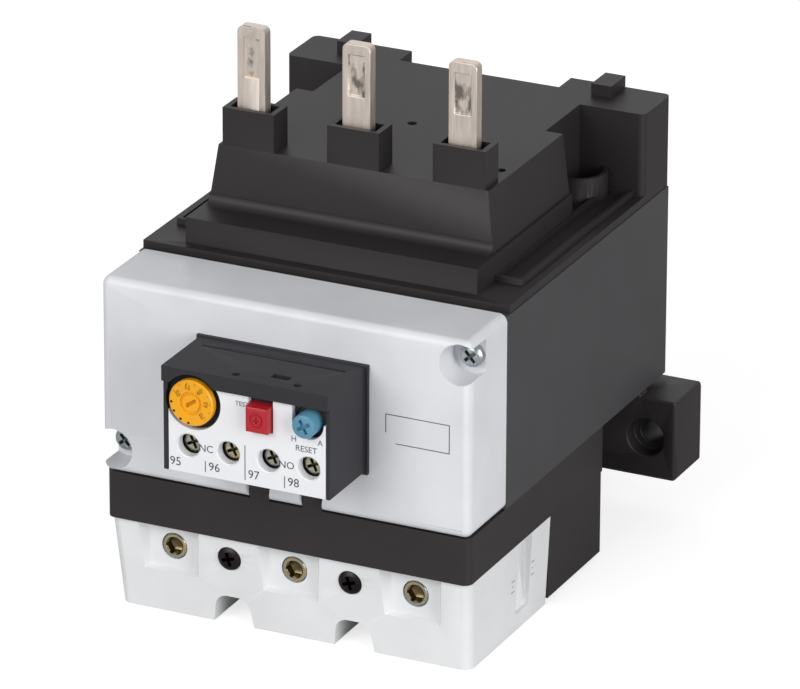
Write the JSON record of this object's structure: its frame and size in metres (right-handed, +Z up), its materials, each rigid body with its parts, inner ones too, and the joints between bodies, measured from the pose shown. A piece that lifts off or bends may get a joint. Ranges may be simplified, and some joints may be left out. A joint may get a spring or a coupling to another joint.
{
  "type": "thermal overload relay",
  "caption": "Three-pole thermal overload relay with plug-in blades, box terminals, a setting dial, test and reset buttons and auxiliary contacts.",
  "frame": {"origin": "middle of the underside of the bounding box", "axes": "+Z up towards the plug-in blades, +Y towards the mounting plane behind, front face with dial and buttons towards -Y, +X to the right seen from the front"},
  "size_m": [0.1088, 0.1294, 0.1306],
  "materials": {
    "dark_grey_plastic": "fine matt moulded plastic",
    "light_grey_plastic": "satin moulded plastic",
    "pale_grey_plastic": "satin moulded plastic",
    "black_plastic": "satin moulded plastic",
    "module_plastic": "fine matt moulded plastic",
    "white_label": "printed plastic",
    "yellow_plastic": "satin moulded plastic",
    "red_plastic": "satin moulded plastic",
    "blue_plastic": "translucent-looking moulded plastic",
    "natural_plastic": "moulded plastic",
    "zinc_steel": "bright zinc plate",
    "black_steel": "black finish",
    "yellow_zinc": "yellow zinc plate",
    "spring_steel": "bright wire",
    "tinned_copper": "tin plate over copper",
    "copper": "bare copper",
    "bimetal": "rolled strip",
    "silver_alloy": "bright contact metal"
  },
  "bodies": {
    "base": {"adapter_screws": "zinc_steel", "aux_plate_95": "tinned_copper", "aux_plate_96": "tinned_copper", "aux_plate_97": "tinned_copper", "aux_plate_98": "tinned_copper", "bar_rivets": "silver_alloy", "bimetal_left": "bimetal", "bimetal_middle": "bimetal", "bimetal_right": "bimetal", "contact_blade_left": "tinned_copper", "contact_blade_middle": "tinned_copper", "contact_blade_right": "tinned_copper", "cover_screws": "zinc_steel", "foot_screws": "zinc_steel", "front_cover": "light_grey_plastic", "heater_bar_left": "copper", "heater_bar_middle": "copper", "heater_bar_right": "copper", "label_plate": "white_label", "lever_pin": "zinc_steel", "main_housing": "dark_grey_plastic", "module_housing": "module_plastic", "mounting_foot": "black_plastic", "reset_spring": "spring_steel", "section_screws": "zinc_steel", "terminal_cover": "pale_grey_plastic", "terminal_cover_screws": "black_steel", "terminal_housing": "black_plastic", "test_spring": "spring_steel", "top_adapter": "black_plastic"},
    "dial": {"current_dial": "yellow_plastic"},
    "test_key": {"test_button": "red_plastic"},
    "reset_turner": {"reset_sleeve": "module_plastic"},
    "reset_key": {"reset_button": "blue_plastic"},
    "trip_comb": {"trip_slide": "natural_plastic"},
    "trip_lever": {"compensation_lever": "natural_plastic"},
    "contacts": {"contact_carrier": "natural_plastic", "closed_bridge": "silver_alloy", "open_bridge": "silver_alloy"},
    "main_screw_left": {"terminal_screw_left": "yellow_zinc"},
    "box_clamp_left": {"terminal_cage_left": "zinc_steel"},
    "main_screw_middle": {"terminal_screw_middle": "yellow_zinc"},
    "box_clamp_middle": {"terminal_cage_middle": "zinc_steel"},
    "main_screw_right": {"terminal_screw_right": "yellow_zinc"},
    "box_clamp_right": {"terminal_cage_right": "zinc_steel"},
    "screw_95": {"aux_screw_95": "zinc_steel"},
    "saddle_95": {"aux_clamp_95": "zinc_steel"},
    "screw_96": {"aux_screw_96": "zinc_steel"},
    "saddle_96": {"aux_clamp_96": "zinc_steel"},
    "screw_97": {"aux_screw_97": "zinc_steel"},
    "saddle_97": {"aux_clamp_97": "zinc_steel"},
    "screw_98": {"aux_screw_98": "zinc_steel"},
    "saddle_98": {"aux_clamp_98": "zinc_steel"}
  },
  "joints": [
    {"name": "dial_turn", "type": "hinge", "parent": "base", "child": "dial", "pos_m": [-0.013, -0.0607, 0.0635], "axis": [0, 1, 0], "range_deg": [-135, 135]},
    {"name": "test_press", "type": "slide", "parent": "base", "child": "test_key", "axis": [0, 1, 0], "range_m": [0, 0.002], "stiffness_N_per_m": 400, "springref_m": -0.001},
    {"name": "reset_turn", "type": "hinge", "parent": "base", "child": "reset_turner", "pos_m": [0.015, -0.0607, 0.0635], "axis": [0, 1, 0], "range_deg": [0, 90]},
    {"name": "reset_press", "type": "slide", "parent": "reset_turner", "child": "reset_key", "axis": [0, 1, 0], "range_m": [0, 0.0025], "stiffness_N_per_m": 400, "springref_m": -0.001},
    {"name": "main_screw_turn_left", "type": "hinge", "parent": "base", "child": "main_screw_left", "pos_m": [-0.03, -0.0337, 0.0162], "axis": [0, 1, 0], "range_deg": [0, 1440]},
    {"name": "box_clamp_draw_left", "type": "slide", "parent": "base", "child": "box_clamp_left", "axis": [0, -1, 0], "range_m": [0, 0.005]},
    {"name": "main_screw_turn_middle", "type": "hinge", "parent": "base", "child": "main_screw_middle", "pos_m": [0, -0.0337, 0.0162], "axis": [0, 1, 0], "range_deg": [0, 1440]},
    {"name": "box_clamp_draw_middle", "type": "slide", "parent": "base", "child": "box_clamp_middle", "axis": [0, -1, 0], "range_m": [0, 0.005]},
    {"name": "main_screw_turn_right", "type": "hinge", "parent": "base", "child": "main_screw_right", "pos_m": [0.03, -0.0337, 0.0162], "axis": [0, 1, 0], "range_deg": [0, 1440]},
    {"name": "box_clamp_draw_right", "type": "slide", "parent": "base", "child": "box_clamp_right", "axis": [0, -1, 0], "range_m": [0, 0.005]},
    {"name": "saddle_draw_95", "type": "slide", "parent": "base", "child": "saddle_95", "axis": [0, 1, 0], "range_m": [0, 0.0024]},
    {"name": "screw_turn_95", "type": "hinge", "parent": "saddle_95", "child": "screw_95", "pos_m": [-0.0142, -0.0597, 0.0528], "axis": [0, 1, 0], "range_deg": [0, 1440]},
    {"name": "saddle_draw_96", "type": "slide", "parent": "base", "child": "saddle_96", "axis": [0, 1, 0], "range_m": [0, 0.0024]},
    {"name": "screw_turn_96", "type": "hinge", "parent": "saddle_96", "child": "screw_96", "pos_m": [-0.0044, -0.0597, 0.0528], "axis": [0, 1, 0], "range_deg": [0, 1440]},
    {"name": "saddle_draw_97", "type": "slide", "parent": "base", "child": "saddle_97", "axis": [0, 1, 0], "range_m": [0, 0.0024]},
    {"name": "screw_turn_97", "type": "hinge", "parent": "saddle_97", "child": "screw_97", "pos_m": [0.0054, -0.0597, 0.0528], "axis": [0, 1, 0], "range_deg": [0, 1440]},
    {"name": "saddle_draw_98", "type": "slide", "parent": "base", "child": "saddle_98", "axis": [0, 1, 0], "range_m": [0, 0.0024]},
    {"name": "screw_turn_98", "type": "hinge", "parent": "saddle_98", "child": "screw_98", "pos_m": [0.0152, -0.0597, 0.0528], "axis": [0, 1, 0], "range_deg": [0, 1440]},
    {"name": "comb_push", "type": "slide", "parent": "base", "child": "trip_comb", "axis": [1, 0, 0], "range_m": [0, 0.0025]},
    {"name": "lever_swing", "type": "hinge", "parent": "base", "child": "trip_lever", "pos_m": [0.0372, -0.0025, 0.072], "axis": [0, 0, 1], "range_deg": [-12, 0]},
    {"name": "contacts_trip", "type": "slide", "parent": "base", "child": "contacts", "axis": [0, 1, 0], "range_m": [0, 0.0019]}
  ],
  "couplings": [
    {"joint": "main_screw_turn_left", "follows": "box_clamp_draw_left", "rad_per_m": 5026.5},
    {"joint": "main_screw_turn_middle", "follows": "box_clamp_draw_middle", "rad_per_m": 5026.5},
    {"joint": "main_screw_turn_right", "follows": "box_clamp_draw_right", "rad_per_m": 5026.5},
    {"joint": "screw_turn_95", "follows": "saddle_draw_95", "rad_per_m": 10472},
    {"joint": "screw_turn_96", "follows": "saddle_draw_96", "rad_per_m": 10472},
    {"joint": "screw_turn_97", "follows": "saddle_draw_97", "rad_per_m": 10472},
    {"joint": "screw_turn_98", "follows": "saddle_draw_98", "rad_per_m": 10472},
    {"joint": "lever_swing", "follows": "comb_push", "rad_per_m": -80}
  ]
}
